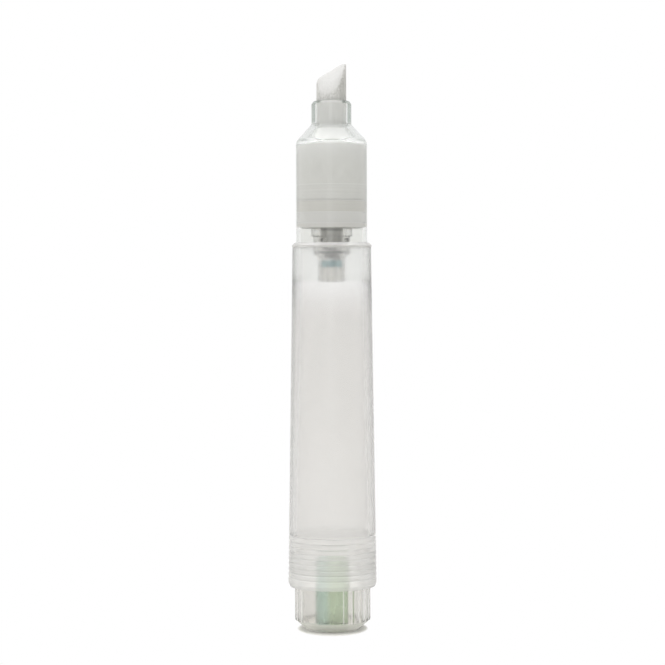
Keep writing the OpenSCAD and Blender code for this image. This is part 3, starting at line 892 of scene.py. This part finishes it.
def plunger_stem():
    """Grey plunger: a hollow poppet, a stem and a notched head under the nib."""
    roof_z = POPPET_Z1 - 1.0
    outline = rounded([
        (0, roof_z, 0), (POPPET_BORE_R, roof_z, 0.15), (POPPET_BORE_R, POPPET_Z0, 0.08),
        (POPPET_R, POPPET_Z0, 0.1), (POPPET_R, POPPET_Z1, 0.08), (STEM_R, POPPET_Z1, 0.05),
        (STEM_R, HEAD_Z0, 0.2), (HEAD_R, HEAD_Z0, 0.2), (HEAD_R, HEAD_Z1, 0.2), (0, HEAD_Z1, 0),
    ])
    stem = turned("plunger_stem", outline, FINISHES["grey_plastic"], SMALL_SEGMENTS)
    notches = holes_round("flow notches", {
        "Hole count": 4, "Hole radius": 0.8 * MM, "Hole length": 3.4 * MM, "Ring radius": HEAD_R * MM,
        "Height": (HEAD_Z0 + HEAD_Z1) / 2 * MM, "First turn": 0.0,
    }, 0.0, FINISHES["grey_plastic"])
    notches.run(stem)
    smooth(stem.data)
    return stem


def end_cap():
    """Cap on the end of the valve's tube, with a hollow plug that reaches up to the spring's seat."""
    outline = rounded([
        (SEAT_BORE_R, CAP_Z0, 0.1), (TUBE_R, CAP_Z0, 0.15), (TUBE_R, TUBE_Z0, 0.08),
        (SEAT_R, TUBE_Z0, 0.05), (SEAT_R, SEAT_Z0, 0.12), (SEAT_BORE_R, SEAT_Z0, 0.08),
    ])
    return turned("valve_end_cap", outline, FINISHES["milky_plastic"], SMALL_SEGMENTS)


def return_spring():
    """Coil of drawn wire that pushes the plunger up."""
    spring = piece_of("return_spring", bmesh.new(), FINISHES["spring_steel"])
    tree = ShapeTree("coil", {
        "Turns": SPRING_TURNS, "Coil radius": SPRING_R * MM, "Wire radius": WIRE_R * MM,
        "Foot": SPRING_Z0 * MM, "Rise": (SPRING_Z1 - SPRING_Z0) * MM,
    })
    coil_r = tree.size("Coil radius")
    path = tree.node("GeometryNodeCurveSpiral", None, {
        "Resolution": 48, "Rotations": tree.size("Turns"), "Height": tree.size("Rise"),
        "Start Radius": coil_r, "End Radius": coil_r,
    })
    wire = tree.node("GeometryNodeCurvePrimitiveCircle", {"mode": "RADIUS"},
                     {"Resolution": 14, "Radius": tree.size("Wire radius")})
    coil = tree.node("GeometryNodeCurveToMesh", None,
                     {"Curve": path, "Profile Curve": wire, "Fill Caps": True})
    coil = tree.node("GeometryNodeTransform", None,
                     {"Geometry": coil, "Translation": tree.join(0.0, 0.0, tree.size("Foot"))})
    tree.close(coil, FINISHES["spring_steel"])
    tree.run(spring)
    smooth(spring.data, turn=50)
    return spring


def tail_stopper():
    """Clear plug: flat foot with a bevel, fluted sides, and a spigot with a groove for its ring."""
    outline = rounded([
        (0, 0, 0), (FOOT_R, 0, 0.25), (PLUG_R, FOOT_Z1, 0.35), (PLUG_R, SPIGOT_Z0, 0),
        (SPIGOT_R, SPIGOT_Z0, 0.06), (SPIGOT_R, GROOVE_Z0, 0), (GROOVE_R, GROOVE_Z0, 0.1),
        (GROOVE_R, GROOVE_Z1, 0.1), (SPIGOT_R, GROOVE_Z1, 0), (SPIGOT_R, SPIGOT_Z1, 0.2),
        (PLUG_BORE_R, SPIGOT_Z1, 0.2), (PLUG_BORE_R, PLUG_FLOOR_Z, 0.2), (RECESS_R, PLUG_FLOOR_Z, 0.1),
        (RECESS_R, CORE_Z0, 0.05), (0, CORE_Z0, 0),
    ])
    outline = refined(outline, 0.0, BARREL_Z0 + 0.4, step=0.25)
    stopper = turned("tail_stopper", outline, FINISHES["hazy_plastic"], PLUG_SEGMENTS)
    tree = ShapeTree("grip flutes", {
        "Flutes a side": FLUTE_COUNT, "Flute pitch": FLUTE_PITCH, "Flute radius": FLUTE_R * MM,
        "Flute depth": FLUTE_DEPTH * MM, "Plug radius": PLUG_R * MM, "First turn": FLUTE_TURN,
        "Top": BARREL_Z0 * MM, "Skin": (PLUG_BORE_R + 0.4) * MM,
    })
    x, y, z = tree.place()
    radius = tree.away(x, y)
    pitch = tree.size("Flute pitch")
    half = (tree.size("Flutes a side") - 1) / 2
    turn = tree.side_turn(x, y, tree.size("First turn"))
    flute = tree.math("ROUND", turn / pitch + half) - half
    flute = tree.between(flute, 0 - half, half)
    off = turn - flute * pitch
    cutter_r = tree.size("Flute radius")
    centre = tree.size("Plug radius") + cutter_r - tree.size("Flute depth")
    sideways = centre * tree.math("SINE", off)
    room = tree.math("MAXIMUM", cutter_r * cutter_r - sideways * sideways, 0)
    wall = centre * tree.math("COSINE", off) - tree.math("SQRT", room)
    fluted = (radius > tree.size("Skin")) * (z < tree.size("Top"))
    cut = tree.math("MAXIMUM", radius - wall, 0) * fluted * (room > 0)
    # The least radius keeps the points on the axis from a division by nought
    off_axis = tree.math("MAXIMUM", radius, 1e-9)
    tree.close(move_in(tree, x, y, z, off_axis, radius - cut), FINISHES["hazy_plastic"])
    tree.run(stopper)
    smooth(stopper.data, turn=40)
    return stopper


def colour_core():
    """Green core with a bevelled top, which stands in the plug's floor."""
    outline = rounded([
        (0, CORE_Z0, 0), (CORE_R, CORE_Z0, 0.1), (CORE_R, CORE_Z1 - CORE_BEVEL, 0.25),
        (CORE_R - CORE_BEVEL, CORE_Z1, 0.25), (0, CORE_Z1, 0),
    ])
    return turned("colour_core", outline, FINISHES["green_plastic"], SMALL_SEGMENTS)


def soft_least(a, b, blend):
    """The lesser of two heights, with the corner between them worn round."""
    near = max(blend - abs(a - b), 0) / blend
    return min(a, b) - near * near * blend / 4


def nib_top(x, y):
    """Height of the felt's chisel end above a point of the rod."""
    edge = NIB_Z1 - (NIB_R - NIB_TIP_FLAT) * math.tan(NIB_SLANT) + x * math.tan(NIB_SLANT)
    fall = 1 / (math.tan(NIB_BEVEL) * math.cos(NIB_SLANT))
    sides = edge + NIB_HALF_EDGE * fall - math.hypot(y, RIDGE_WEAR) * fall
    return soft_least(soft_least(edge, sides, EDGE_WEAR), NIB_Z1, TIP_WEAR)


def worn(point):
    """A point of the sharp nib, moved in to where the edges of its chisel faces are worn round."""
    step = LEAST_STEP
    for _ in range(WEAR_PASSES):
        x, y, z = point
        r = math.hypot(x, y)
        top = nib_top(x, y)
        fall_x = (top - nib_top(x + step, y)) / step
        fall_y = (top - nib_top(x, y + step)) / step
        lean = Vector((fall_x, fall_y, 1))
        side = r - NIB_R
        cap = (z - top) / lean.length
        wear = TIP_WEAR + WEAR_GROWTH * min(max(NIB_Z1 - z, 0), WEAR_REACH)
        near = max(wear - abs(side - cap), 0) / wear
        high = max(side, cap) + near * near * wear / 4
        share = min(max(0.5 + (side - cap) / (2 * wear), 0), 1)
        pull = share * Vector((x / r, y / r, 0)) + (1 - share) * lean.normalized()
        point = point - pull * high / max(pull.length_squared, 0.2)
    return point


def felt_nib():
    """Chisel felt rod with worn edges and fibres that run along it."""
    segments = 224
    edge = 0.18
    foot_rings = 6
    rows = 70
    crowding = 1.5
    rings = 30
    shape = bmesh.new()
    columns = []
    for k in range(segments):
        turn = 2 * math.pi * k / segments
        c, s = math.cos(turn), math.sin(turn)
        rim = nib_top(NIB_R * c, NIB_R * s)
        foot = NIB_Z0 + edge
        line = [(NIB_R * f / foot_rings, NIB_Z0) for f in range(1, foot_rings)]
        line += [(NIB_R - edge + edge * math.sin(a), foot - edge * math.cos(a))
                 for a in (0, math.pi / 8, math.pi / 4, 3 * math.pi / 8)]
        line += [(NIB_R, rim - (rim - foot) * (1 - f / rows) ** crowding) for f in range(rows + 1)]
        for f in range(rings - 1, 0, -1):
            r = NIB_R * f / rings
            line.append((r, nib_top(r * c, r * s)))
        column = []
        for r, z in line:
            point = Vector((r * c, r * s, z))
            x, y = point.xy
            ridge = noise.noise(Vector((FIBRE_ACROSS * x, FIBRE_ACROSS * y, FIBRE_ALONG * z)))
            lump = noise.noise(Vector((LUMP_ACROSS * x, LUMP_ACROSS * y, LUMP_ALONG * z + LUMP_SHIFT)))
            sink = FIBRE_DEPTH * (1 + ridge) + LUMP_DEPTH * (1 + lump)
            if z > foot:
                point = worn(point)
                out = Vector((c, s, 0)) if r > NIB_R - LEAST_STEP else Vector((0, 0, 1))
                point = point - out * sink
            column.append(shape.verts.new(point * MM))
        columns.append(column)
    foot = shape.verts.new((0, 0, NIB_Z0 * MM))
    tip = shape.verts.new((0, 0, (nib_top(0, 0) - FIBRE_DEPTH - LUMP_DEPTH) * MM))
    for k in range(segments):
        here, there = columns[k], columns[(k + 1) % segments]
        shape.faces.new((foot, there[0], here[0]))
        for i in range(len(here) - 1):
            shape.faces.new((here[i], there[i], there[i + 1], here[i + 1]))
        shape.faces.new((here[-1], there[-1], tip))
    bmesh.ops.recalc_face_normals(shape, faces=shape.faces)
    nib = piece_of("felt_nib", shape, FINISHES["white_felt"])
    nib.data.shade_smooth()
    return nib


def seat(piece, body, node):
    """Put a finished piece in the place of its solid."""
    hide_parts(node)
    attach(piece, body)


seat(barrel_tube(), "barrel", "barrel")
seat(nose_shell(), "barrel", "nose_cone")
seat(felt_nib(), "nib", "nib")
seat(guide_sleeve(), "barrel", "nib_guide")
spacer_collar = plain_ring(
    "spacer_collar", (STACK_R, SPACER_BORE_R), (GASKET_Z1, SPACER_Z1), 0.06, "milky_plastic")
seat(spacer_collar, "barrel", "spacer_ring")
gasket_ring = plain_ring(
    "gasket_ring", (STACK_R, GASKET_BORE_R), (FLANGE_Z1, GASKET_Z1), 0.06, "pale_rubber")
seat(gasket_ring, "barrel", "valve_gasket")
seat(valve_housing(), "barrel", "valve_body")
seat(plunger_stem(), "plunger", "valve_plunger")
plunger_washer = plain_ring(
    "plunger_washer", (POPPET_R, STEM_R), (POPPET_Z1, WASHER_Z1), 0.1, "dark_rubber", SMALL_SEGMENTS)
seat(plunger_washer, "plunger", "plunger_seal")
spring_washer = plain_ring(
    "spring_washer", (SEAT_R, SEAT_BORE_R), (SEAT_Z0, SEAT_Z1), 0.12, "teal_rubber", SMALL_SEGMENTS)
seat(spring_washer, "barrel", "spring_seat")
seat(end_cap(), "barrel", "valve_cap")
seat(tail_stopper(), "tail", "tail_plug")
stopper_ring = plain_ring(
    "stopper_ring", (SPIGOT_R, GROOVE_R - CONTACT), (GROOVE_Z0 - CONTACT, GROOVE_Z1 + CONTACT),
    0.1, "clear_rubber")
seat(stopper_ring, "tail", "tail_seal")
seat(colour_core(), "tail", "tail_core")
spring = return_spring()
seat(spring, "barrel", "valve_spring")
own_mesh(spring)


# Floor, light and camera

def white_to_the_eye(tree):
    """1 on rays straight to the eye, and 1 on those that only clear and glossy faces have turned."""
    names = ("Is Camera Ray", "Is Glossy Ray", "Is Transmission Ray", "Diffuse Depth")
    straight, glossy, through, scatters = tree.node("ShaderNodeLightPath", out=names)
    return straight, (glossy + through > 0.5) * (scatters < 0.5)


def white_floor():
    """A pale floor that reads white and keeps the shadow under the marker; where clear and glossy faces
    show the floor near the foot, a fixed cream glow is painted shadow.
    """
    finish = Finish("floor")
    speck = finish.grain((0.2, 0.2, 0.2), 2.0)
    x, y = finish.split(finish.spot)[:2]
    away = finish.math("SQRT", x * x + SHADOW_SQUASH * y * y)
    beyond = finish.step(away, SHADOW_R0 * MM, SHADOW_R1 * MM)
    stone = finish.tones(speck, (0.78, 0.77, 0.73), (0.8, 0.79, 0.75))
    paint = finish.node("ShaderNodeBsdfDiffuse", None, {"Color": stone})
    glow = finish.node("ShaderNodeEmission", None, {"Color": WHITE, "Strength": FLOOR_GLOW})
    white = finish.node("ShaderNodeEmission", None, {"Color": WHITE, "Strength": 1.0})
    # Seen through clear and glossy faces, the floor near the foot is a fixed cream glow: painted shadow
    cream = finish.node("ShaderNodeEmission", None, {"Color": (0.92, 0.91, 0.86, 1), "Strength": 1.0})
    near = finish.node("ShaderNodeAddShader", None, {0: paint, 1: glow})
    straight, bent = white_to_the_eye(finish)
    both = finish.mix(straight, paint, finish.mix(beyond, near, white))
    both = finish.mix(bent, both, finish.mix(beyond, cream, white))
    finish.node("ShaderNodeOutputMaterial", None, {"Surface": both})
    shape = bmesh.new()
    bmesh.ops.create_grid(shape, x_segments=8, y_segments=8, size=FLOOR_HALF)
    floor = piece_of("floor", shape, finish.material)
    # The floor stays under the foot when the plug is drawn out
    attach(floor, "tail")


def white_room():
    """A world that lights softly and reads white behind the object."""
    world = bpy.data.worlds.new("room")
    world.use_nodes = True
    room = Tree(world.node_tree)
    room.tree.nodes.clear()
    x, y = room.split(room.node("ShaderNodeTexCoord", out="Generated"))[:2]
    level = ROOM_LEVEL + ROOM_BACK * room.math("MAXIMUM", y, 0) - ROOM_LEFT * x
    dim = room.node("ShaderNodeBackground", None, {"Color": WHITE, "Strength": level})
    white = room.node("ShaderNodeBackground", None, {"Color": WHITE, "Strength": 1.0})
    straight, bent = white_to_the_eye(room)
    both = room.mix(straight + bent, dim, white)
    room.node("ShaderNodeOutputWorld", None, {"Surface": both})
    bpy.context.scene.world = world


def softbox(name, place, aim, width, height, power):
    """A flat lamp at a place, turned to a point."""
    lamp = bpy.data.lights.new(name, "AREA")
    lamp.shape = "RECTANGLE"
    lamp.size = width
    lamp.size_y = height
    lamp.energy = power
    box = bpy.data.objects.new(name, lamp)
    box.location = place
    box.rotation_euler = (Vector(aim) - Vector(place)).to_track_quat("-Z", "Y").to_euler()
    bpy.context.scene.collection.objects.link(box)


white_floor()
white_room()
softbox("overhead", (0, -0.03, 0.66), (0, 0, 0.01), width=0.78, height=0.6, power=3.2)
softbox("strip", (-0.1, -0.95, 0.25), (0, 0, 0.1), width=0.3, height=0.5, power=0.32)

# The photograph's view: a long lens a little above the middle of the marker
camera_data = bpy.data.cameras.new("camera")
camera_data.sensor_width = SENSOR_MM
camera_data.lens = SENSOR_MM * LENS_PIXELS / PHOTO_PIXELS
camera_data.clip_start = 0.01
camera = bpy.data.objects.new("camera", camera_data)
camera.location = CAMERA_PLACE
camera.rotation_euler = Euler((CAMERA_PITCH, CAMERA_ROLL, 0))
bpy.context.scene.collection.objects.link(camera)
bpy.context.scene.camera = camera

bpy.context.scene.view_settings.view_transform = "Standard"
bpy.context.scene.cycles.max_bounces = 40
bpy.context.scene.cycles.transmission_bounces = 40
bpy.context.scene.cycles.glossy_bounces = 40
bpy.context.scene.cycles.diffuse_bounces = 12
